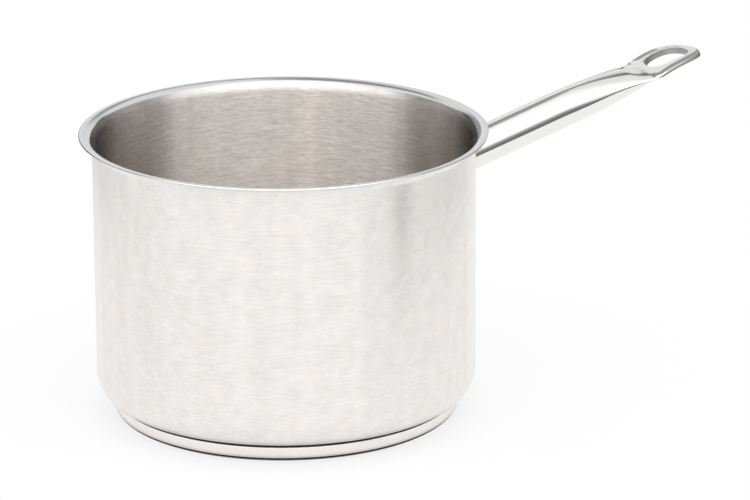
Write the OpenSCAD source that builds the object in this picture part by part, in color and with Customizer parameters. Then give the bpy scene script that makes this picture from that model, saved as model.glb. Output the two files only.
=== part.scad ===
// Saucepan: a drawn steel body with a pouring rim, a bonded sandwich base
// and a hollow handle pressed flat around a hanging eye.
// Origin at the centre of the underside, Z up, handle along X.

/* [Body] */
// Inside diameter of the straight wall
body_inner_d = 200; // [160:1:240]
// Height from the worktop to the top of the rim
pan_h = 152.4; // [120:0.1:200]
// Thickness of the drawn body sheet
body_sheet = 1; // [0.8:0.1:1.6]
// Outside radius between the wall and the bottom
body_corner_r = 14.5; // [12:0.5:20]

/* [Pouring rim] */
// Radius of the outward turn, under the sheet
rim_turn_r = 5.4; // [4:0.1:8]
// Flat part of the lip beyond the turn
lip_flat = 1.1; // [0.4:0.1:2]

/* [Base] */
// Thickness of the aluminium heat spreader
spreader_t = 7.2; // [5:0.1:8]
// Thickness of the steel cap under the spreader
cap_sheet = 0.8; // [0.6:0.1:1.2]
// Outside diameter of the cap
cap_d = 184; // [154:1:190]
// Radius of the cap's lower edge
cap_edge_r = 5; // [3:0.5:6]
// Height of the fine seam left above the cap
seam_gap = 0.5; // [0.3:0.1:0.8]

/* [Handle bracket] */
// Drop from the top of the rim to where the handle's axis meets the wall
handle_drop = 32.6; // [30:0.1:50]
// Rise of the handle above level, in degrees
handle_rise = 14.35; // [5:0.05:18]
// Thickness of the pressed bracket
bracket_sheet = 2; // [1.5:0.1:2.5]
// Width of the bracket around the wall
bracket_w = 54; // [46:1:60]
// Height of the bracket
bracket_h = 38; // [34:1:40]
// Corner radius of the bracket
bracket_corner_r = 11; // [6:0.5:14]
// Length of the spigot inside the tube
spigot_l = 9; // [6:0.5:14]
// Clearance between the spigot and the tube
spigot_gap = 0.15; // [0.1:0.05:0.3]
// Diameter of a spot weld
spot_d = 5; // [4:0.5:6]
// Distance of a spot weld's centre from the bracket's edges
spot_inset = 7; // [6:0.5:8]
// Depth of the dimple that a spot weld leaves
spot_dimple = 0.4; // [0.2:0.1:0.6]

/* [Handle tube] */
// Outside diameter of the round tube
tube_d = 20.6; // [18:0.1:22]
// Wall of the tube
tube_wall = 2; // [1.6:0.1:2.2]
// Leg of the weld bead around the root
weld_leg = 3; // [2:0.1:3.4]
// Distance from the wall to the tip, along the axis
handle_l = 166.6; // [140:0.1:200]
// Length over which the tube is pressed from round to flat
press_l = 66; // [50:1:80]
// Length of the flat end
flat_l = 32.6; // [31:0.1:36]
// Width of the flat end
paddle_w = 32; // [29:0.1:33]
// Radius of the flat end's lengthwise arch
arch_r = 63; // [55:1:90]
// Height of the arch's crest above the tube's axis
crest_n = 3; // [1:0.1:4]
// Fall of the upper face from the eye to the side edges
crown_drop = 0.8; // [0:0.1:1.4]
// Lean of the side edges, wider at the underside
edge_lean = 0.2; // [0:0.05:0.5]

/* [Hanging eye] */
// Length of the eye along the handle
eye_l = 25.6; // [22:0.1:27]
// Width of the eye
eye_w = 18.3; // [15:0.1:20]
// Distance from the tip back to the middle of the eye
eye_back = 19.1; // [18:0.1:20]

/* [Hidden] */

steel = "#c9c8c6";
bright_steel = "#dcdcdc";
aluminium = "#b4b6b8";
weld_steel = "#a9a8a6";

// Body and base
body_r = body_inner_d / 2 + body_sheet;
floor_z = cap_sheet + spreader_t;
corner_x = body_r - body_corner_r;
corner_z = floor_z + body_corner_r;
turn_x = body_r + rim_turn_r;
turn_z = pan_h - body_sheet - rim_turn_r;
cap_r = cap_d / 2;
cap_rim_z = corner_z;

// Bracket and handle root
handle_z = pan_h - handle_drop;
bracket_r = body_r + bracket_sheet;
tube_r = tube_d / 2;
bore_r = tube_r - tube_wall;
spigot_r = bore_r - spigot_gap;
spot_y = bracket_w / 2 - spot_inset;
spot_z = bracket_h / 2 - spot_inset;
cut_over = bracket_sheet;

// Flattened end, with s for distances from the wall along the tube's axis
paddle_t = 2 * tube_wall;
neck_s = handle_l - flat_l;
press_start = neck_s - press_l;
eye_s = handle_l - eye_back;
neck_top = crest_n - pow(neck_s - eye_s, 2) / (2 * arch_r);
neck_bottom = neck_top - paddle_t;
tip_s = neck_s + paddle_w / 4;
blend_s = paddle_w / 2;
crown_run = paddle_t / 2;
tip_edge = paddle_t / 2;
cavity_end = neck_s - 2 * tube_wall;

// Powers that shape the pressing, and the roundness of the outlines
top_power = 2;
bottom_power = 3;
width_power = 1.6;
square_power = 8;
edge_squareness = 8;
eye_squareness = 2.55;
tip_squareness = 2.13;

// Facets of the handle's skin
around = 40;
straight_rings = 3;
press_rings = 15;
step_rings = 3;
tip_rings = 13;
last_tip_angle = 86;
cavity_rings = 10;
eye_points = 56;
bead_steps = 40;
bead_bulge_share = 0.62;
$fn = 96;

// Helpers
function mix(a, b, k) = a + (b - a) * k;
function limit(v) = min(1, max(0, v));
function ease(v) = let (c = limit(v)) c * c * (3 - 2 * c);
function signed_pow(v, e) = sign(v) * pow(abs(v), e);
function sq(v) = v * v;

// Distance along the axis at which a line beside the axis leaves a cylinder
function cope(r, t, n) =
    (sqrt(sq(r) - sq(t)) - body_r + n * sin(handle_rise)) / cos(handle_rise);

// Section of the pressed tube at a distance s from the wall
function pressed(s) = limit((s - press_start) / (neck_s - press_start));
function paddle_top(s) = crest_n - sq(max(s, neck_s) - eye_s) / (2 * arch_r);
function flat_share(s) = ease((s - neck_s) / blend_s + 1);
function top_n(s) = mix(
    mix(tube_r, neck_top, pow(pressed(s), top_power)), paddle_top(s), flat_share(s));
function bottom_n(s) = mix(
    mix(-tube_r, neck_bottom, pow(pressed(s), bottom_power)),
    paddle_top(s) - paddle_t, flat_share(s));
function tip_run(s) = limit((s - tip_s) / (handle_l - tip_s));
function half_w(s) = mix(tube_r, paddle_w / 2, pow(pressed(s), width_power))
    * pow(1 - pow(tip_run(s), tip_squareness), 1 / tip_squareness);
function tip_thin(s) = sqrt(1 - sq(limit((s - handle_l + tip_edge) / tip_edge)));
function squared(s) = pow(pressed(s), square_power);
function squareness(s) = mix(2, edge_squareness, squared(s));
function crown(s, t) = crown_drop * ease((s - neck_s) / crown_run)
    * sq(limit((abs(t) - eye_w / 2) / (paddle_w / 2 - eye_w / 2)));

// One point of the outer skin, or of the bore when inset is the wall
function skin(s, a, inset) = let (
    q = 2 / squareness(s),
    w = half_w(s) - inset,
    hi = top_n(s) - inset,
    lo = bottom_n(s) + inset,
    mid = (hi + lo) / 2,
    t = (w - edge_lean * squared(s) * signed_pow(sin(a), q)) * signed_pow(cos(a), q),
    lift = (sin(a) > 0 ? hi - mid - crown(s, t) : mid - lo) * tip_thin(s)
) [s, t, mid + lift * signed_pow(sin(a), q)];
function ring(s, inset) =
    [for (k = [0:around - 1]) skin(s, 360 * k / around, inset)];
// The root ring follows the bracket's face
function root_ring(inset) = [for (p = ring(0, inset))
    [cope(bracket_r, p[1], p[2]), p[1], p[2]]];

// Facets between two neighbouring rings, and over the end of a row of rings
function band(i, n) = [for (k = [0:n - 1]) let (
    a = i * n + k, b = i * n + (k + 1) % n) each [[a, a + n, b], [b, a + n, b + n]]];
function end_fan(first, n) = [for (k = [1:n - 2]) [first, first + k + 1, first + k]];
function turned(faces) = [for (f = faces) [f[0], f[2], f[1]]];
function shifted(faces, by) = [for (f = faces) [for (v = f) v + by]];

// Half profiles of the revolved pieces
module quarter_turn(r, t) {
    intersection() {
        difference() {
            circle(r + t);
            circle(r);
        }
        translate([-r - t, 0]) square([r + t, r + t]);
    }
}

module body_outline() {
    translate([corner_x, corner_z]) circle(body_corner_r);
    translate([0, floor_z]) square([corner_x, pan_h]);
    translate([0, corner_z]) square([body_r, pan_h]);
}

module cap_outline(r, edge_r) {
    translate([r - edge_r, edge_r]) circle(edge_r);
    square([r - edge_r, cap_rim_z]);
    translate([0, edge_r]) square([r, cap_rim_z - edge_r]);
}

module shell_profile() {
    // Bottom and corner
    translate([0, floor_z]) square([corner_x, body_sheet]);
    translate([corner_x, corner_z]) intersection() {
        difference() {
            circle(body_corner_r);
            circle(body_corner_r - body_sheet);
        }
        translate([0, -body_corner_r]) square([body_corner_r, body_corner_r]);
    }
    // Wall, outward turn and lip with its rounded edge
    translate([body_r - body_sheet, corner_z]) square([body_sheet, turn_z - corner_z]);
    translate([turn_x, turn_z]) quarter_turn(rim_turn_r, body_sheet);
    translate([turn_x, turn_z + rim_turn_r]) square([lip_flat, body_sheet]);
    translate([turn_x + lip_flat, pan_h - body_sheet / 2]) circle(body_sheet / 2);
}

module pot_shell() {
    color(steel) rotate_extrude() shell_profile();
}

module heat_spreader() {
    color(aluminium) rotate_extrude() difference() {
        translate([0, cap_sheet]) cap_outline(cap_r - cap_sheet, cap_edge_r - cap_sheet);
        body_outline();
    }
}

module base_cap() {
    color(bright_steel) rotate_extrude() difference() {
        cap_outline(cap_r, cap_edge_r);
        translate([0, cap_sheet]) cap_outline(cap_r - cap_sheet, cap_edge_r - cap_sheet);
        translate([0, -seam_gap]) body_outline();
    }
}

// Ring around the body from its wall to the radius r
module wall_band(r) {
    translate([0, 0, handle_z - bracket_h]) difference() {
        cylinder(r = r, h = 2 * bracket_h);
        translate([0, 0, -cut_over]) cylinder(r = body_r, h = 2 * bracket_h + 2 * cut_over);
    }
}

module rounded_plate(w, h, r) {
    square([w - 2 * r, h], center = true);
    square([w, h - 2 * r], center = true);
    for (y = [-1, 1], z = [-1, 1])
        translate([y * (w / 2 - r), z * (h / 2 - r)]) circle(r);
}

module spot_rods() {
    for (y = [-1, 1], z = [-1, 1])
        translate([0, y * spot_y, handle_z + z * spot_z])
            rotate([0, 90, 0]) cylinder(d = spot_d, h = bracket_r);
}

module handle_bracket() {
    color(steel) {
        difference() {
            intersection() {
                wall_band(bracket_r);
                translate([0, 0, handle_z]) rotate([90, 0, 90])
                    linear_extrude(bracket_r)
                        rounded_plate(bracket_w, bracket_h, bracket_corner_r);
            }
            spot_rods();
        }
        // Spigot that centres and closes the tube
        difference() {
            translate([body_r, 0, handle_z]) rotate([0, 90 - handle_rise, 0])
                cylinder(r = spigot_r, h = bracket_sheet + spigot_l);
            translate([0, 0, handle_z - bracket_h])
                cylinder(r = body_r + bracket_sheet / 2, h = 2 * bracket_h);
        }
    }
}

module spot_welds() {
    color(weld_steel) intersection() {
        wall_band(bracket_r - spot_dimple);
        spot_rods();
    }
}

module on_handle_axis() {
    translate([body_r, 0, handle_z]) rotate([0, -handle_rise, 0]) children();
}

module handle_tube() {
    near_s = [for (k = [1:straight_rings]) press_start * k / (straight_rings + 1)];
    press_s = [for (k = [0:press_rings]) mix(press_start, neck_s, k / press_rings)];
    step_s = [for (k = [1:step_rings]) neck_s + crown_run * k / step_rings];
    tip_at = [for (k = [0:tip_rings])
        mix(tip_s, handle_l, sin(last_tip_angle * k / tip_rings))];
    deep_s = [for (k = [0:cavity_rings]) mix(press_start, cavity_end, k / cavity_rings)];
    outer_s = concat(near_s, press_s, step_s, tip_at);
    inner_s = concat(near_s, deep_s);
    outer = concat(root_ring(0), [for (s = outer_s) each ring(s, 0)]);
    inner = concat(root_ring(tube_wall), [for (s = inner_s) each ring(s, tube_wall)]);
    bands_out = len(outer_s);
    bands_in = len(inner_s);
    first_in = len(outer);
    skin_faces = concat(
        [for (i = [0:bands_out - 1]) each band(i, around)],
        end_fan(bands_out * around, around));
    bore_faces = concat(
        [for (i = [0:bands_in - 1]) each band(i, around)],
        end_fan(bands_in * around, around));
    root_faces = [for (k = [0:around - 1]) let (j = (k + 1) % around)
        each [[k, j, first_in + k], [j, first_in + j, first_in + k]]];
    eye_outline = [for (k = [0:eye_points - 1]) let (a = 360 * k / eye_points) [
        eye_l / 2 * signed_pow(cos(a), 2 / eye_squareness),
        eye_w / 2 * signed_pow(sin(a), 2 / eye_squareness)]];
    color(bright_steel) on_handle_axis() difference() {
        polyhedron(concat(outer, inner),
            concat(skin_faces, turned(shifted(bore_faces, first_in)), root_faces));
        translate([eye_s, 0, -tube_r]) linear_extrude(tube_d) polygon(eye_outline);
    }
}

// Bead of weld metal in the corner between the tube and the bracket
function bead_point(a, out, along) = let (
    t = (tube_r + out) * cos(a), n = (tube_r + out) * sin(a)
) [cope(bracket_r, t, n) + along, t, n];

module handle_weld() {
    bulge = weld_leg * bead_bulge_share;
    points = [for (k = [0:bead_steps - 1]) let (a = 360 * k / bead_steps) each [
        bead_point(a, 0, 0), bead_point(a, weld_leg, 0),
        bead_point(a, bulge, bulge), bead_point(a, 0, weld_leg)]];
    n = 4;
    faces = [for (k = [0:bead_steps - 1], i = [0:n - 1]) let (
        next = (k + 1) % bead_steps, j = (i + 1) % n)
        each [[k * n + i, k * n + j, next * n + i], [k * n + j, next * n + j, next * n + i]]];
    color(weld_steel) on_handle_axis() polyhedron(points, faces);
}

pot_shell();
heat_spreader();
base_cap();
handle_bracket();
spot_welds();
handle_tube();
handle_weld();
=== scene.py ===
# Saucepan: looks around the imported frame
import math
import bmesh
import bpy
from mathutils import Matrix, Vector


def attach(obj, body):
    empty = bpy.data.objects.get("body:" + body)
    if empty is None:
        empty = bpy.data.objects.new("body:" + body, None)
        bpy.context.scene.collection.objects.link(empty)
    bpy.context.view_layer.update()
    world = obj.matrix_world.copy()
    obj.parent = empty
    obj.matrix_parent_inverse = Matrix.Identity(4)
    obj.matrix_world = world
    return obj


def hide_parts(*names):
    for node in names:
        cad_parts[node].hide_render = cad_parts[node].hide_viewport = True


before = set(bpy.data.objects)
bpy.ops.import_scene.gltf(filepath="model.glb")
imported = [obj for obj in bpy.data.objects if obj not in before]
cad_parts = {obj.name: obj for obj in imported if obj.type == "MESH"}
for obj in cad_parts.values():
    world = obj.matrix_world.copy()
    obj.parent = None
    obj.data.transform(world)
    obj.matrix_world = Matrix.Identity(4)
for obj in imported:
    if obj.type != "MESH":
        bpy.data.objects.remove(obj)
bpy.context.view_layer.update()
mm = 0.001
print("frame loaded:", len(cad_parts), "nodes")


# Selection and modes

def selectNothing():
    if bpy.context.object and bpy.context.object.mode != "OBJECT":
        bpy.ops.object.mode_set(mode="OBJECT")
    bpy.ops.object.select_all(action="DESELECT")


def pick(piece):
    selectNothing()
    piece.select_set(True)
    bpy.context.view_layer.objects.active = piece


def selectVertices(piece, wanted):
    bpy.ops.mesh.select_all(action="DESELECT")
    mesh = bmesh.from_edit_mesh(piece.data)
    for vertex in mesh.verts:
        vertex.select = wanted(vertex.co)
    mesh.select_flush(True)
    bmesh.update_edit_mesh(piece.data)


# Rings: each piece grows from a circle by extruding it ring by ring

def startRing(name, count, radius, height=0):
    selectNothing()
    bpy.context.tool_settings.mesh_select_mode = (True, False, False)
    bpy.ops.mesh.primitive_circle_add(vertices=count, radius=radius * mm, fill_type="NOTHING",
                                      location=(0, 0, height * mm))
    piece = bpy.context.object
    piece.name = piece.data.name = name
    bpy.ops.object.transform_apply(location=True, rotation=True, scale=True)
    bpy.ops.object.mode_set(mode="EDIT")
    bpy.ops.mesh.select_all(action="SELECT")
    return piece


def closePole(piece, radius, height):
    near = 0.01 * mm
    selectVertices(piece, lambda co: abs(math.hypot(co.x, co.y) - radius * mm) < near
                   and abs(co.z - height * mm) < near)
    bpy.ops.mesh.edge_face_add()
    bpy.ops.mesh.poke()


def faceOut(piece, middle):
    # normals away from a point inside the piece
    bpy.ops.mesh.select_all(action="SELECT")
    bpy.ops.mesh.normals_make_consistent(inside=False)
    mesh = bmesh.from_edit_mesh(piece.data)
    outward = sum((face.calc_center_median() - middle).dot(face.normal) * face.calc_area()
                  for face in mesh.faces)
    if outward < 0:
        bpy.ops.mesh.flip_normals()
    bpy.ops.object.mode_set(mode="OBJECT")


def turnProfile(name, facets, profile, middle):
    piece = startRing(name, facets, *profile[0])
    # each new ring is raised and scaled from the one before
    for (r0, z0), (r1, z1) in zip(profile, profile[1:]):
        bpy.ops.mesh.extrude_region_move(TRANSFORM_OT_translate={"value": (0, 0, (z1 - z0) * mm)})
        bpy.ops.transform.resize(value=(r1 / r0, r1 / r0, 1), center_override=(0, 0, z1 * mm))
    closePole(piece, *profile[0])
    faceOut(piece, Vector((0, 0, middle * mm)))
    return piece


def applyModifier(piece, kind, **settings):
    pick(piece)
    bpy.ops.object.modifier_add(type=kind)
    modifier = piece.modifiers[-1]
    for name, value in settings.items():
        setattr(modifier, name, value)
    bpy.ops.object.modifier_apply(modifier=modifier.name)


def thicken(piece, sheet, **settings):
    applyModifier(piece, "SOLIDIFY", thickness=sheet * mm, offset=-1, use_even_offset=True,
                  **settings)


def roundEdges(piece, width, segments):
    sharp = 60  # only the sheet's edges turn by more degrees than this
    applyModifier(piece, "BEVEL", width=width * mm, segments=segments, limit_method="ANGLE",
                  angle_limit=math.radians(sharp))


def arcPoints(x, z, radius, start, end, steps):
    angles = [math.radians(start + (end - start) * k / steps) for k in range(steps + 1)]
    return [(x + radius * math.cos(a), z + radius * math.sin(a)) for a in angles]


def finishPiece(piece, node, materials, angle=35):
    pick(piece)
    bpy.ops.object.shade_smooth_by_angle(angle=math.radians(angle))
    for index, material in enumerate(materials):
        if index < len(piece.data.materials):
            piece.data.materials[index] = material
        else:
            piece.data.materials.append(material)
    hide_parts(node)
    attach(piece, "root")
    print("made", piece.name, len(piece.data.polygons), "faces")


# Shader maths

class Wire:
    def __init__(self, socket):
        self.socket = socket
        self.tree = socket.id_data

    def node(self, kind, settings=None, inputs=None, output=0):
        return addNode(self.tree, kind, settings, inputs, output)

    def run(self, operation, *values, clamp=False):
        return self.node("ShaderNodeMath", {"operation": operation, "use_clamp": clamp}, values)

    def __add__(self, other):
        return self.run("ADD", self, other)

    def __sub__(self, other):
        return self.run("SUBTRACT", self, other)

    def __rsub__(self, other):
        return self.run("SUBTRACT", other, self)

    def __mul__(self, other):
        return self.run("MULTIPLY", self, other)

    def __truediv__(self, other):
        return self.run("DIVIDE", self, other)

    def __pow__(self, other):
        return self.run("POWER", self, other)

    __radd__ = __add__
    __rmul__ = __mul__

    def clamped(self):
        return self.run("ADD", self, 0, clamp=True)

    def absolute(self):
        return self.run("ABSOLUTE", self)

    def step(self, low, high):
        # 0 below low and 1 above high, with a soft change between
        return self.node("ShaderNodeMapRange", {"interpolation_type": "SMOOTHSTEP"},
                         {"Value": self, "From Min": low, "From Max": high,
                          "To Min": 0, "To Max": 1})

    def within(self, middle, edge):
        # 1 around the middle, falling to 0 between the two distances of the edge
        return 1 - (self - middle).absolute().step(*edge)

    def part(self, axis):
        return self.node("ShaderNodeSeparateXYZ", None, [self], axis)


def addNode(tree, kind, settings=None, inputs=None, output=0):
    node = tree.nodes.new(kind)
    for name, value in (settings or {}).items():
        setattr(node, name, value)
    pairs = inputs.items() if isinstance(inputs, dict) else enumerate(inputs or ())
    for key, value in pairs:
        if isinstance(value, Wire):
            tree.links.new(value.socket, node.inputs[key])
        else:
            node.inputs[key].default_value = value
    return Wire(node.outputs[output])


def colour(red, green, blue):
    return (red, green, blue, 1)


def mixColour(factor, first, second):
    return factor.node("ShaderNodeMix", {"data_type": "RGBA"}, {0: factor, 6: first, 7: second}, 2)


def tinted(paint, tint):
    return paint.node("ShaderNodeMix", {"data_type": "RGBA", "blend_type": "MULTIPLY"},
                      {0: 1.0, 6: paint, 7: tint}, 2)


def noise(vector, scale, detail=2, rough=0.5):
    return vector.node("ShaderNodeTexNoise", None, {"Vector": vector, "Scale": scale,
                                                    "Detail": detail, "Roughness": rough})


def bumped(height, strength, distance):
    return height.node("ShaderNodeBump", None, {"Strength": strength, "Distance": distance,
                                                "Height": height})


def vectorOf(x, y, z):
    return x.node("ShaderNodeCombineXYZ", None, [x, y, z])


def newMaterial(name):
    material = bpy.data.materials.new(name)
    material.use_nodes = True
    material.node_tree.nodes.clear()
    return material


def shaderOut(material, base, roughness, normal, fixed=None):
    tree = material.node_tree
    inputs = {"Base Color": base, "Roughness": roughness, "Normal": normal, "Metallic": 1.0}
    inputs.update(fixed or {})
    surface = addNode(tree, "ShaderNodeBsdfPrincipled", None, inputs)
    out = tree.nodes.new("ShaderNodeOutputMaterial")
    tree.links.new(surface.socket, out.inputs["Surface"])
    return material


def roundPlace(material):
    # object coordinates, the direction round the axis, the height and the radius
    tiny = 1e-9  # keeps the direction defined on the axis itself
    place = addNode(material.node_tree, "ShaderNodeTexCoord", output="Object")
    x, y, z = (place.part(axis) for axis in range(3))
    radius = (x * x + y * y + tiny) ** 0.5
    return place, x / radius, y / radius, z, radius


brush = {"lineDetail": 3, "lineRough": 0.65, "dashRuns": 3, "dashLines": 0.45, "bandHeight": 1.5,
         "cloudDetail": 3, "cloudRough": 0.6, "warmScale": 0.8, "warmDepth": 3, "turned": 0.25,
         "bumpDepth": 0.00002, "shadeRough": 0.65}


def brushedSteel(name, look):
    material = newMaterial(name)
    place, x, y, z, radius = roundPlace(material)
    path = (z + radius) * look["linesPerMetre"]
    runs = look["runs"]
    lines = noise(vectorOf(x * runs, y * runs, path), 1, brush["lineDetail"], brush["lineRough"])
    dashes = noise(vectorOf(x * runs * brush["dashRuns"], y * runs * brush["dashRuns"],
                            path * brush["dashLines"]), 1)
    bands = noise(vectorOf(x * look["bands"], y * look["bands"], z * brush["bandHeight"]), 1)
    clouds = noise(place, look["cloudScale"], brush["cloudDetail"], brush["cloudRough"])
    warmth = noise(place, look["cloudScale"] * brush["warmScale"])
    tone = (lines - 0.5) * look["lineDepth"] + (dashes - 0.5) * look["dashDepth"] \
        + (bands - 0.5) * look["bandDepth"] + (clouds - 0.5) * look["cloudDepth"] + 0.5
    steel = mixColour(tone.clamped(), look["dark"], look["light"])
    tint = mixColour(((warmth - 0.5) * brush["warmDepth"] + 0.5).clamped(), look["cool"],
                     look["warm"])
    base = tinted(steel, tint)
    if "deepShade" in look:
        # painted shade: the inside's colour darkens towards its bottom
        base = mixColour(z.step(*look["deepShadeEdge"]), tinted(base, look["deepShade"]), base)
    roughness = (lines - 0.5) * look["roughRange"] + look["rough"]
    # the brush lines run round, so the shine spreads up and down
    fixed = {"Anisotropic": look["spread"], "Anisotropic Rotation": brush["turned"],
             "Specular IOR Level": 0.0}
    if "edge" in look:
        fixed["Specular Tint"] = look["edge"]  # the shine dulls at a glancing angle
    # painted shade in the gap between the body and the base: a near black, matt colour where the
    # gap's shade falls
    paintedShade = None
    if "creviceShade" in look:
        paintedShade = 1 - z.step(*look["creviceShade"])
    if "jointShade" in look:
        paintedShade = (1 - radius.step(*look["jointShade"])) * z.step(*look["jointShadeFoot"])
    if paintedShade:
        base = mixColour(paintedShade, base, look["paintedShade"])
        roughness = paintedShade * brush["shadeRough"] + roughness
        fixed["Metallic"] = 1 - paintedShade
    return shaderOut(material, base, roughness, bumped(lines, look["bump"], brush["bumpDepth"]),
                     fixed)


polish = {"detail": 3, "rough": 0.6, "bumpDepth": 0.00001}


def polishedSteel(name, look):
    material = newMaterial(name)
    place, *_, radius = roundPlace(material)
    haze = noise(place, look["hazeScale"], polish["detail"], polish["rough"])
    ground = groundPlaces(place, look["ground"]) if "ground" in look else None
    drawn = place.node("ShaderNodeMapping", None, {"Vector": place, "Scale": look["grain"]})
    grain = noise(drawn, 1, polish["detail"], polish["rough"])
    tone = (haze - 0.5) * look["hazeDepth"] + (grain - 0.5) * look["grainDepth"] + 0.5
    base = mixColour(tone.clamped(), look["dark"], look["light"])
    roughness = (haze - 0.5) * look["roughRange"] + look["rough"]
    fixed = {}
    # painted shade: past the given radius the colour turns near black and matt
    if "shadeFrom" in look:
        gapShade = radius.step(*look["shadeFrom"])
        base = mixColour(gapShade, base, look["gapShade"])
        fixed["Metallic"] = 1 - gapShade
    if ground:
        base = mixColour(ground, base,
                         mixColour(tone.clamped(), look["groundDark"], look["groundLight"]))
        roughness = ground * (look["groundRough"] - look["rough"]) + roughness
    return shaderOut(material, base, roughness, bumped(grain, look["bump"], polish["bumpDepth"]),
                     fixed)


outsideLook = {"dark": colour(0.77, 0.76, 0.75), "light": colour(0.95, 0.94, 0.935),
               "cool": colour(0.985, 0.993, 1.0), "warm": colour(1.0, 0.984, 0.975),
               "linesPerMetre": 1700, "runs": 12, "lineDepth": 1.0, "dashDepth": 0.4,
               "bands": 9, "bandDepth": 0.5, "cloudScale": 130, "cloudDepth": 0.9,
               "rough": 0.26, "roughRange": 0.08, "bump": 0.3, "spread": 0.8,
               # painted shade: the body's corner turns near black below this height, where it tucks
               # behind the base
               "creviceShade": (0.0108, 0.0112), "paintedShade": colour(0.03, 0.03, 0.03)}
insideLook = {"dark": colour(0.56, 0.525, 0.495), "light": colour(0.95, 0.91, 0.88),
              "cool": colour(0.99, 1.0, 1.0), "warm": colour(1.0, 0.98, 0.96),
              "linesPerMetre": 1800, "runs": 8, "lineDepth": 1.5, "dashDepth": 0.8,
              "bands": 7, "bandDepth": 0.7, "cloudScale": 40, "cloudDepth": 0.3,
              "rough": 0.42, "roughRange": 0.1, "bump": 0.2, "spread": 0.95,
              # painted shade: the colour darkens towards the bottom of the inside
              "deepShadeEdge": (0.02, 0.12), "deepShade": colour(0.74, 0.725, 0.71),
              "edge": colour(0.0, 0.0, 0.0)}
rimLook = {"dark": colour(0.70, 0.70, 0.70), "light": colour(0.80, 0.80, 0.80), "hazeScale": 90,
           "hazeDepth": 0.5, "grain": (60, 60, 60), "grainDepth": 0.3, "rough": 0.15,
           "roughRange": 0.05, "bump": 0.1}
outsideSteel = brushedSteel("brushedOutside", outsideLook)
insideSteel = brushedSteel("brushedInside", insideLook)
rimSteel = polishedSteel("polishedRim", rimLook)
print("body materials ready")


# Body

body = {"wallRadius": 101.0, "height": 152.4, "sheet": 1.0, "cornerRadius": 14.5,
        "floorHeight": 8.0, "turnRadius": 5.4, "lipFlat": 1.05, "lipRound": 0.49,
        "polishFrom": 150.6, "facets": 240, "poleRadius": 4.0, "cornerSteps": 16,
        "wallSteps": 10, "turnSteps": 14, "lipSteps": 4}


def makeBody(size):
    cornerX = size["wallRadius"] - size["cornerRadius"]
    cornerZ = size["floorHeight"] + size["cornerRadius"]
    turnX = size["wallRadius"] + size["turnRadius"]
    turnZ = size["height"] - size["sheet"] - size["turnRadius"]
    lipX = turnX + size["lipFlat"] + size["sheet"] / 2
    wallSteps = size["wallSteps"]
    profile = [(size["poleRadius"], size["floorHeight"]), (cornerX / 2, size["floorHeight"])]
    profile += arcPoints(cornerX, cornerZ, size["cornerRadius"], -90, 0, size["cornerSteps"])
    profile += [(size["wallRadius"], cornerZ + (turnZ - cornerZ) * k / wallSteps)
                for k in range(1, wallSteps)]
    profile += arcPoints(turnX, turnZ, size["turnRadius"], 180, 90, size["turnSteps"])
    profile += [(lipX, size["height"] - size["sheet"])]
    piece = turnProfile("panBody", size["facets"], profile, size["height"] / 2)
    steels = (outsideSteel, insideSteel, rimSteel)
    inside, rim = 1, 2
    for material in steels:
        piece.data.materials.append(material)
    thicken(piece, size["sheet"], material_offset=inside, material_offset_rim=rim)
    roundEdges(piece, size["sheet"] * size["lipRound"], size["lipSteps"])
    for face in piece.data.polygons:
        if face.material_index == inside and face.center.z > size["polishFrom"] * mm:
            face.material_index = rim
    finishPiece(piece, "pot_shell", steels)


makeBody(body)


# Base cap

base = {"radius": 92.0, "sheet": 0.8, "edgeRadius": 5.0, "rimHeight": 8.58, "rimEdge": 0.25,
        "facets": 240, "poleRadius": 4.0, "edgeSteps": 12, "rimSteps": 3}
baseLook = {"dark": colour(0.80, 0.79, 0.78), "light": colour(0.94, 0.93, 0.92),
            "cool": colour(0.99, 1.0, 1.0), "warm": colour(1.0, 0.985, 0.975),
            "linesPerMetre": 1800, "runs": 4, "lineDepth": 0.5, "dashDepth": 0.3,
            "bands": 3, "bandDepth": 0.2, "cloudScale": 60, "cloudDepth": 0.2,
            "rough": 0.2, "roughRange": 0.08, "bump": 0.3, "spread": 0.6,
            # painted shade: near black inside this radius above the foot, on the cup's inside seen
            # through the gap and on a thin band low on the rounded edge
            "jointShade": (0.0913, 0.0915), "jointShadeFoot": (0.001, 0.0015),
            "paintedShade": colour(0.03, 0.03, 0.03)}


def makeBase(size, look):
    edgeX = size["radius"] - size["edgeRadius"]
    profile = [(size["poleRadius"], 0), (edgeX / 2, 0)]
    profile += arcPoints(edgeX, size["edgeRadius"], size["edgeRadius"], -90, 0, size["edgeSteps"])
    profile += [(size["radius"], size["rimHeight"])]
    piece = turnProfile("baseCap", size["facets"], profile, size["rimHeight"])
    thicken(piece, size["sheet"])
    roundEdges(piece, size["rimEdge"], size["rimSteps"])
    finishPiece(piece, "base_cap", (brushedSteel("satinBase", look),))


makeBase(base, baseLook)


# Handle

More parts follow.
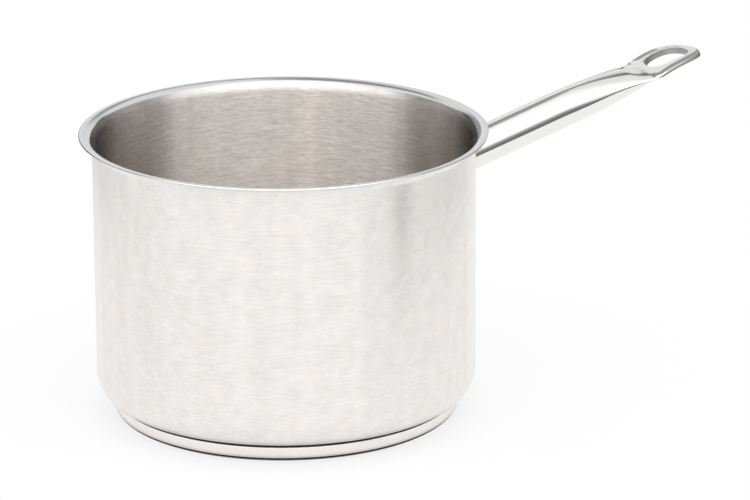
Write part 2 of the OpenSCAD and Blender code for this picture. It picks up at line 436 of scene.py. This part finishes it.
# lengths in millimetres and angles in degrees, s along the handle from the wall
handle = {"tubeRadius": 10.3, "wall": 2.0, "rise": 14.35, "rootHeight": 119.8, "rootRadius": 101.0,
          "bracketRadius": 103.0, "length": 166.3, "pressLength": 66.0, "flatLength": 32.6,
          "flatWidth": 32.0, "archRadius": 63.0, "crest": 2.99,
          "topPower": 2, "bottomPower": 3, "widthPower": 1.6, "sideLift": 1.5, "sidePower": 1.5,
          "upperEdge": 10, "lowerEdge": 3, "edgeRun": 5.5, "edgeLead": 0.8, "edgeLean": 0.2,
          "strip": 3.4, "crownDrop": 0.45, "crownLead": 2, "crownPower": 1.5,
          "tipPower": 2.3, "tipRound": 0.9, "tipThin": 0.8,
          "eyeLength": 24.9, "eyeWidth": 18.3, "eyeBack": 19.35, "eyePower": 2.55, "eyeRound": 0.3,
          "eyeBends": (0, 20, 40, 60, 75), "flareOut": 0.6, "flareUp": 0.3, "flareTop": 5,
          "facets": 96, "straightSteps": 5, "pressSteps": 44, "crownSteps": 5, "sideSteps": 5,
          "sideFrom": 3, "tipSteps": 34, "tipTurn": 89, "cavitySteps": 12, "eyeFacets": 120}
# where the ground steel shows: fades across the strip's edges, along it and down the side
groundFade = {"back": (-1, 1), "nearStart": 2.5, "wider": 0.5, "across": (-0.25, 0.25),
              "along": (-0.3, 0.3), "farFrom": 14.5, "farTo": 17, "depth": (2.2, 2.5),
              "eye": (1.0, 1.08)}
handleLook = {"dark": colour(0.80, 0.80, 0.79), "light": colour(0.92, 0.92, 0.91), "hazeScale": 70,
              "hazeDepth": 0.5, "grain": (30, 900, 900), "grainDepth": 0.35, "rough": 0.1,
              "roughRange": 0.05, "bump": 0.1, "ground": handle, "groundRough": 0.42,
              "groundDark": colour(0.36, 0.36, 0.35), "groundLight": colour(0.50, 0.50, 0.49)}


def blendOf(a, b, k):
    return a + (b - a) * k


def limited(v):
    return min(1, max(0, v))


def eased(v):
    return limited(v) ** 2 * (3 - 2 * limited(v))


def signedPower(v, power):
    return math.copysign(abs(v) ** power, v)


def groundPlaces(place, size):
    # 1 on the strip inside the flat end's outline and on the eye's wall
    fade = groundFade
    rise = math.radians(size["rise"])
    x, y, z = (place.part(axis) / mm for axis in range(3))
    s = (x - size["rootRadius"]) * math.cos(rise) + (z - size["rootHeight"]) * math.sin(rise)
    n = (z - size["rootHeight"]) * math.cos(rise) - (x - size["rootRadius"]) * math.sin(rise)
    t = y.absolute()
    neck = size["length"] - size["flatLength"]
    tip = neck + size["flatWidth"] / 4
    run = ((s - tip) / (size["length"] - tip)).clamped()
    half = (1 - run ** size["tipPower"]).clamped() ** (1 / size["tipPower"]) \
        * (size["flatWidth"] / 2)
    back = y.step(*fade["back"])
    begin = neck + (1 - back) * fade["nearStart"]
    start = ((begin + size["strip"] - s) / size["strip"]).clamped()
    wide = (1 - start * start).clamped() ** 0.5 * size["strip"] * (back * fade["wider"] + 1)
    far = back * s.step(neck + fade["farFrom"], neck + fade["farTo"])
    bend = s - (size["length"] - size["eyeBack"])
    depth = size["crest"] - bend * bend / (2 * size["archRadius"]) - n
    strip = (t + wide - half).step(*fade["across"]) * (s - begin).step(*fade["along"]) \
        * (1 - far) * (1 - depth.step(*fade["depth"]))
    along = (bend / (size["eyeLength"] / 2)).absolute()
    across = t / (size["eyeWidth"] / 2)
    eye = 1 - (along ** size["eyePower"] + across ** size["eyePower"]).step(*fade["eye"])
    return 1 - (1 - strip) * (1 - eye)


class HandleForm:
    # the section of the pressed tube at any distance s from the wall
    def __init__(self, size):
        self.size = size
        self.rise = math.radians(size["rise"])
        self.flat = 2 * size["wall"]
        self.neck = size["length"] - size["flatLength"]
        self.press = self.neck - size["pressLength"]
        self.eye = size["length"] - size["eyeBack"]
        self.tip = self.neck + size["flatWidth"] / 4
        self.blendRun = size["flatWidth"] / 2
        self.crownRun = self.flat / 2

    def world(self, s, t, n):
        cos, sin = math.cos(self.rise), math.sin(self.rise)
        return Vector((self.size["rootRadius"] + s * cos - n * sin, t,
                       self.size["rootHeight"] + s * sin + n * cos)) * mm

    def cope(self, t, n):
        reach = math.sqrt(self.size["bracketRadius"] ** 2 - t * t)
        return (reach - self.size["rootRadius"] + n * math.sin(self.rise)) / math.cos(self.rise)

    def pressed(self, s):
        return limited((s - self.press) / self.size["pressLength"])

    def flattened(self, s):
        return eased((s - self.neck) / self.blendRun + 1)

    def flatTop(self, s):
        bend = max(s, self.neck) - self.eye
        return self.size["crest"] - bend ** 2 / (2 * self.size["archRadius"])

    def top(self, s):
        tube = blendOf(self.size["tubeRadius"], self.flatTop(self.neck),
                       self.pressed(s) ** self.size["topPower"])
        return blendOf(tube, self.flatTop(s), self.flattened(s))

    def bottom(self, s):
        tube = blendOf(-self.size["tubeRadius"], self.flatTop(self.neck) - self.flat,
                       self.pressed(s) ** self.size["bottomPower"])
        return blendOf(tube, self.flatTop(s) - self.flat, self.flattened(s))

    def halfWidth(self, s):
        size = self.size
        run = limited((s - self.tip) / (size["length"] - self.tip))
        wide = blendOf(size["tubeRadius"], size["flatWidth"] / 2,
                       self.pressed(s) ** size["widthPower"])
        return wide * (1 - run ** size["tipPower"]) ** (1 / size["tipPower"])

    def squared(self, s):
        run = self.size["edgeRun"]
        return eased((s - self.neck + self.size["edgeLead"] * run) / run)

    def sideHeight(self, s, high, low):
        # the widest line of the section climbs while the tube is pressed
        climb = math.sin(math.pi * self.pressed(s) ** self.size["sidePower"]) ** 2
        return (high + low) / 2 + self.size["sideLift"] * climb

    def crown(self, s, t):
        # the top falls away along a strip inside the outline
        size = self.size
        return size["crownDrop"] * eased((s - self.neck + size["crownLead"]) / self.crownRun) \
            * limited((abs(t) - self.halfWidth(s)) / size["strip"] + 1) ** size["crownPower"]

    def skin(self, s, turn, inset=0):
        size = self.size
        edge = size["upperEdge" if math.sin(turn) > 0 else "lowerEdge"]
        power = 2 / blendOf(2, edge, self.squared(s))
        high, low = self.top(s) - inset, self.bottom(s) + inset
        middle = self.sideHeight(s, high, low)
        close = limited((s - size["length"]) / size["tipRound"] + 1) * size["tipThin"]
        thin = math.sqrt(1 - close ** 2)
        up = signedPower(math.sin(turn), power)
        wide = self.halfWidth(s) - inset - size["edgeLean"] * self.squared(s) * up
        t = wide * signedPower(math.cos(turn), power)
        lift = (high - middle - self.crown(s, t) if up > 0 else middle - low) * thin
        return s, t, middle + lift * up


def placeRing(piece, where):
    mesh = bmesh.from_edit_mesh(piece.data)
    turn = mesh.verts.layers.float["turn"]
    for vertex in mesh.verts:
        if vertex.select:
            vertex.co = where(vertex[turn])
    bmesh.update_edit_mesh(piece.data)


def startSection(name, count):
    # the vertices keep their turn, and this radius doesn't last
    anyRadius = 10
    piece = startRing(name, count, anyRadius)
    mesh = bmesh.from_edit_mesh(piece.data)
    turn = mesh.verts.layers.float.new("turn")
    for vertex in mesh.verts:
        vertex[turn] = math.atan2(vertex.co.y, vertex.co.x)
    bmesh.update_edit_mesh(piece.data)
    return piece


def growSkin(name, count, places):
    # each ring is extruded from the last one and then set to its section
    piece = startSection(name, count)
    placeRing(piece, places[0])
    for where in places[1:]:
        bpy.ops.mesh.extrude_region_move()
        placeRing(piece, where)
    bpy.ops.mesh.edge_face_add()
    bpy.ops.mesh.select_all(action="DESELECT")
    bpy.ops.mesh.select_non_manifold()
    bpy.ops.mesh.edge_face_add()
    bpy.ops.mesh.select_all(action="SELECT")
    bpy.ops.mesh.normals_make_consistent(inside=False)
    bpy.ops.object.mode_set(mode="OBJECT")
    return piece


def makeHandleSkin(size, form):
    def ring(s, inset=0):
        return lambda turn: form.world(*form.skin(s, turn, inset))

    def rootRing(inset):
        def where(turn):
            s, t, n = form.skin(0, turn, inset)
            return form.world(form.cope(t, n), t, n)
        return where

    def evenly(start, end, steps):
        return [blendOf(start, end, k / steps) for k in range(steps + 1)]

    wall = size["wall"]
    straight = [form.press * k / size["straightSteps"] for k in range(1, size["straightSteps"])]
    pressing = evenly(form.press, form.neck, size["pressSteps"])
    stepping = [form.neck + form.crownRun * k / size["crownSteps"]
                for k in range(1, size["crownSteps"] + 1)]
    flatSide = [form.neck + size["sideFrom"] + k for k in range(size["sideSteps"])]
    turns = [math.radians(size["tipTurn"] * k / size["tipSteps"])
             for k in range(size["tipSteps"] + 1)]
    tipping = [blendOf(form.tip, size["length"], math.sin(turn)) for turn in turns]
    cavity = evenly(form.press, form.neck - 2 * wall, size["cavitySteps"])
    places = [ring(s, wall) for s in reversed(straight + cavity)] + [rootRing(wall), rootRing(0)]
    places += [ring(s) for s in straight + pressing + stepping + flatSide + tipping]
    return growSkin("handleTube", size["facets"], places)


def makeEyeCutter(size, form):
    # a prism through the flat end that flares at both faces, which leaves the eye's edges rounded
    def ring(side, grow, depth):
        def where(turn):
            power = 2 / size["eyePower"]
            ds = (size["eyeLength"] / 2 + grow) * signedPower(math.cos(turn), power)
            t = (size["eyeWidth"] / 2 + grow) * signedPower(math.sin(turn), power)
            s = form.eye + ds
            top = form.flatTop(s)
            n = top - form.crown(s, t) - depth if side > 0 else top - form.flat + depth
            return form.world(s, t, n)
        return where

    edge = size["eyeRound"]
    cuts = [(edge * (1 - math.cos(math.radians(a))), edge * (1 - math.sin(math.radians(a))))
            for a in size["eyeBends"]]
    out = cuts[-1][0] + size["flareOut"]
    cuts += [(out, cuts[-1][1] - size["flareUp"]), (out, -size["flareTop"])]
    places = [ring(-1, *cut) for cut in reversed(cuts)] + [ring(1, *cut) for cut in cuts]
    return growSkin("eyeCutter", size["eyeFacets"], places)


def makeHandle(size, look):
    form = HandleForm(size)
    piece = makeHandleSkin(size, form)
    cutter = makeEyeCutter(size, form)
    applyModifier(piece, "BOOLEAN", operation="DIFFERENCE", object=cutter, solver="EXACT")
    bpy.data.objects.remove(cutter)
    finishPiece(piece, "handle_tube", (polishedSteel("polishedHandle", look),),
                angle=40)


makeHandle(handle, handleLook)


# CAD nodes that stay take their own finish

weldLook = {"dark": colour(0.50, 0.48, 0.46), "light": colour(0.72, 0.70, 0.68), "hazeScale": 300,
            "hazeDepth": 1.0, "grain": (400, 400, 400), "grainDepth": 0.6, "rough": 0.38,
            "roughRange": 0.2, "bump": 0.6}
bracketLook = {"dark": colour(0.68, 0.67, 0.66), "light": colour(0.84, 0.83, 0.82), "hazeScale": 80,
               "hazeDepth": 0.5, "grain": (60, 1200, 60), "grainDepth": 0.5, "rough": 0.28,
               "roughRange": 0.1, "bump": 0.3}
spreaderLook = {"dark": colour(0.62, 0.63, 0.64), "light": colour(0.78, 0.79, 0.80),
                "hazeScale": 80, "hazeDepth": 0.5, "grain": (300, 300, 300), "grainDepth": 0.4,
                # painted shade: the spreader's edge, seen in the gap under the body, is near black
                "rough": 0.4, "roughRange": 0.1, "bump": 0.2, "shadeFrom": (0.086, 0.087),
                "gapShade": colour(0.03, 0.03, 0.03)}


def finishNode(name, material):
    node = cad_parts[name]
    node.data.materials.clear()
    node.data.materials.append(material)


weldSteel = polishedSteel("weldSteel", weldLook)
finishNode("handle_bracket", polishedSteel("bracketSteel", bracketLook))
finishNode("spot_welds", weldSteel)
finishNode("handle_weld", weldSteel)
finishNode("heat_spreader", polishedSteel("spreaderAluminium", spreaderLook))
print("frame nodes finished")


# Floor, world and camera

floorLook = {"size": 16.0, "paint": colour(0.25, 0.25, 0.25), "fill": 0.76, "mirrorGlow": 0.8,
             "mirrorPaint": colour(0.22, 0.21, 0.20), "gap": colour(0.10, 0.10, 0.09),
             "gapLeft": 0.17, "leftLean": 0.364, "gapRight": 0.20, "rightLean": 0.6,
             "gapFront": 0.40, "tableEnd": 0.66, "tableBack": 0.6, "soft": 0.03,
             "contact": 0.0895, "contactMid": 0.0925, "contactEnd": 0.0975, "contactLight": 0.4,
             "shadowLight": 0.7, "glowPaint": colour(1, 0.99, 0.98),
             "plain": colour(0.8, 0.8, 0.8)}


def makeFloor(look):
    selectNothing()
    bpy.ops.mesh.primitive_plane_add(size=look["size"], location=(0, 0, 0))
    floor = bpy.context.object
    floor.name = "floor"
    material = newMaterial("paleFloor")
    tree = material.node_tree
    place = addNode(tree, "ShaderNodeTexCoord", output="Object")
    x, y = place.part(0), place.part(1)
    camera = addNode(tree, "ShaderNodeLightPath", output="Is Camera Ray")
    glossy = addNode(tree, "ShaderNodeLightPath", output="Is Glossy Ray")
    paint = addNode(tree, "ShaderNodeBsdfDiffuse", None, {"Color": look["paint"]})
    fill = addNode(tree, "ShaderNodeEmission", None, {"Color": colour(1, 1, 1),
                                                      "Strength": look["fill"]})
    shown = addNode(tree, "ShaderNodeAddShader", None, [paint, fill])

    def past(distance, limit=0):
        return distance.step(limit - look["soft"], limit + look["soft"])

    # the steel mirrors a dark gap at the front right, and dark past the table's end and back
    gap = past(x + y * look["leftLean"] - look["gapLeft"]) \
        * past(look["gapRight"] - x - y * look["rightLean"]) * past(0 - y, look["gapFront"])
    gap = 1 - (1 - gap) * (1 - past(x, look["tableEnd"])) * (1 - past(y, look["tableBack"]))
    # painted shadow: close under the base the floor's glow is dimmed, which the steel mirrors as
    # the contact shadow
    reach = (x * x + y * y) ** 0.5
    clear = (reach.step(look["contact"], look["contactMid"]) * (1 - look["contactLight"])
             + look["contactLight"]) \
        * (reach.step(look["contactMid"], look["contactEnd"]) * (1 - look["shadowLight"])
           + look["shadowLight"])
    glow = addNode(tree, "ShaderNodeEmission", None,
                   {"Color": mixColour(gap, look["glowPaint"], look["gap"]),
                    "Strength": clear * look["mirrorGlow"]})
    matt = addNode(tree, "ShaderNodeBsdfDiffuse", None,
                   {"Color": mixColour(gap, look["mirrorPaint"], look["gap"])})
    mirrored = addNode(tree, "ShaderNodeAddShader", None, [matt, glow])
    plain = addNode(tree, "ShaderNodeBsdfDiffuse", None, {"Color": look["plain"]})
    others = addNode(tree, "ShaderNodeMixShader", None, [glossy, plain, mirrored])
    surface = addNode(tree, "ShaderNodeMixShader", None, [camera, others, shown])
    out = tree.nodes.new("ShaderNodeOutputMaterial")
    tree.links.new(surface.socket, out.inputs["Surface"])
    floor.data.materials.append(material)


# brightness of the tent's parts, and where each ends, in degrees of turn or height, or away from
# the open front; each pair is where a soft edge begins and ends
tent = {"plain": 1.0, "backdrop": 1.0, "facing": -120.6, "front": 1.1, "back": 0.88,
        "backEdge": (95, 130), "backTop": (60, 80), "below": 0.5, "horizon": (-1.5, 0),
        "box": 2.6, "boxEdge": (71.5, 79.5), "boxFoot": (16, 26),
        "middleTurn": -113.0, "middleEdge": (7, 17), "middleDark": 0.25,
        "bandTurn": -65.0, "bandEdge": (4, 12), "bandTop": (2, 19), "bandDark": 0.73,
        "sideEdge": (80, 90), "sideEnd": (148, 158), "sideTop": 42.0, "sideSoft": (-5, 5),
        "topDrop": 17, "topEdge": (112, 126), "sideFoot": (10, 16), "footDrop": 8,
        "footEdge": (105, 135), "sideDark": 0.92,
        "patchLean": 0.2, "patchEdge": (66.5, 68.5), "patchTop": (22, 28), "patchEnd": (100, 110),
        "patchDark": 0.6, "dullTurn": 49.0, "dullEdge": (6, 16), "dullFoot": (16, 28),
        "dullLeast": 0.15, "dullTop": (33, 39), "dullDark": 0.42}
streak = {"foot": 41, "bendTurn": 70, "bendRun": 19, "bendPower": 1.7, "bendRise": 25,
          "footSoft": (-2.5, 2.5), "lean": 0.5, "leanFrom": 34.5, "leanEnd": 59.5,
          "upFrom": 50, "upRun": 20, "upShift": 8, "upSoft": 5, "leftSoft": (-1.5, 1.5),
          "bottom": (20, 25), "top": (64, 82), "end": (98, 108), "dark": 0.62}


def streakMask(turn, height, look):
    bend = ((look["bendTurn"] - turn) / look["bendRun"]).clamped()
    over = height - look["foot"] + bend ** look["bendPower"] * look["bendRise"]
    up = ((height - look["upFrom"]) / look["upRun"]).clamped()
    left = height.run("MINIMUM", height * look["lean"] + look["leanFrom"], look["leanEnd"]) \
        - up * up * look["upShift"]
    return over.step(*look["footSoft"]) \
        * ((turn - left) / (up * look["upSoft"] + 1)).step(*look["leftSoft"]) \
        * height.step(*look["bottom"]) * (1 - height.step(*look["top"])) \
        * (1 - turn.step(*look["end"]))


def makeWorld(look, streakLook):
    world = bpy.data.worlds.new("tent")
    bpy.context.scene.world = world
    world.use_nodes = True
    world.cycles.sampling_method = "NONE"
    tree = world.node_tree
    tree.nodes.clear()
    way = addNode(tree, "ShaderNodeTexCoord", output="Generated")
    height = way.run("ARCSINE", way.part(2)) * (180 / math.pi)
    turn = way.run("ARCTAN2", way.part(1), way.part(0)) * (180 / math.pi)
    # degrees away from the open front of the tent
    away = (way.run("FLOORED_MODULO", turn + (540 - look["facing"]), 360) - 180).absolute()
    behind = away.step(*look["backEdge"]) * (1 - height.step(*look["backTop"]))
    tone = behind * (look["back"] - look["front"]) + look["front"]
    # the large lamp over the camera, a little dimmer in its middle
    box = (1 - away.step(*look["boxEdge"])) * height.step(*look["boxFoot"])
    box = box * (1 - turn.within(look["middleTurn"], look["middleEdge"]) * look["middleDark"])
    tone = box * (look["box"] - tone) + tone
    # dark band low on the front right
    band = turn.within(look["bandTurn"], look["bandEdge"]) * (1 - height.step(*look["bandTop"]))
    # the room's two sides, dark up to the lamp's foot
    top = look["sideTop"] - away.step(*look["topEdge"]) * look["topDrop"]
    side = away.step(*look["sideEdge"]) * (1 - away.step(*look["sideEnd"])) \
        * (1 - (height - top).step(*look["sideSoft"])) \
        * (height + away.step(*look["footEdge"]) * look["footDrop"]).step(*look["sideFoot"])
    # soft leaning streak at the back, and a dark patch beside it near the floor
    leaning = streakMask(turn, height, streakLook)
    patch = (turn - height * look["patchLean"]).step(*look["patchEdge"]) \
        * (1 - height.step(*look["patchTop"])) * (1 - turn.step(*look["patchEnd"]))
    # duller patch that the rim mirrors on the left
    dull = turn.within(look["dullTurn"], look["dullEdge"]) * (1 - height.step(*look["dullTop"])) \
        * (height.step(*look["dullFoot"]) * (1 - look["dullLeast"]) + look["dullLeast"])
    for mask, dark in ((band, look["bandDark"]), (dull, look["dullDark"]), (side, look["sideDark"]),
                       (leaning, streakLook["dark"]), (patch, look["patchDark"])):
        tone = tone * (1 - mask * dark)
    above = height.step(*look["horizon"])
    tone = above * (tone - look["below"]) + look["below"]
    camera = addNode(tree, "ShaderNodeLightPath", output="Is Camera Ray")
    glossy = addNode(tree, "ShaderNodeLightPath", output="Is Glossy Ray")
    strength = glossy * tone + (1 - glossy) * look["plain"]
    strength = camera * look["backdrop"] + (1 - camera) * strength
    sky = addNode(tree, "ShaderNodeBackground", None, {"Color": colour(1, 1, 1),
                                                       "Strength": strength})
    out = tree.nodes.new("ShaderNodeOutputWorld")
    tree.links.new(sky.socket, out.inputs["Surface"])


# the photograph's camera, fitted to the outlines
view = {"place": (-1.08076, -1.91885, 0.78406), "right": (0.85978, -0.51065, -0.00425),
        "forward": (0.48568, 0.82026, -0.30215), "lens": 209.02, "sensor": 36.0}


def makeCamera(look):
    camera = bpy.data.objects.new("camera", bpy.data.cameras.new("camera"))
    bpy.context.scene.collection.objects.link(camera)
    camera.data.lens = look["lens"]
    camera.data.sensor_width = look["sensor"]
    forward = Vector(look["forward"]).normalized()
    right = Vector(look["right"])
    right = (right - forward * right.dot(forward)).normalized()
    up = right.cross(forward)
    turn = Matrix((right, up, -forward)).transposed()
    camera.matrix_world = Matrix.Translation(look["place"]) @ turn.to_4x4()
    bpy.context.scene.camera = camera


makeFloor(floorLook)
makeWorld(tent, streak)
makeCamera(view)
bpy.context.scene.view_settings.view_transform = "Standard"
print("scene ready")
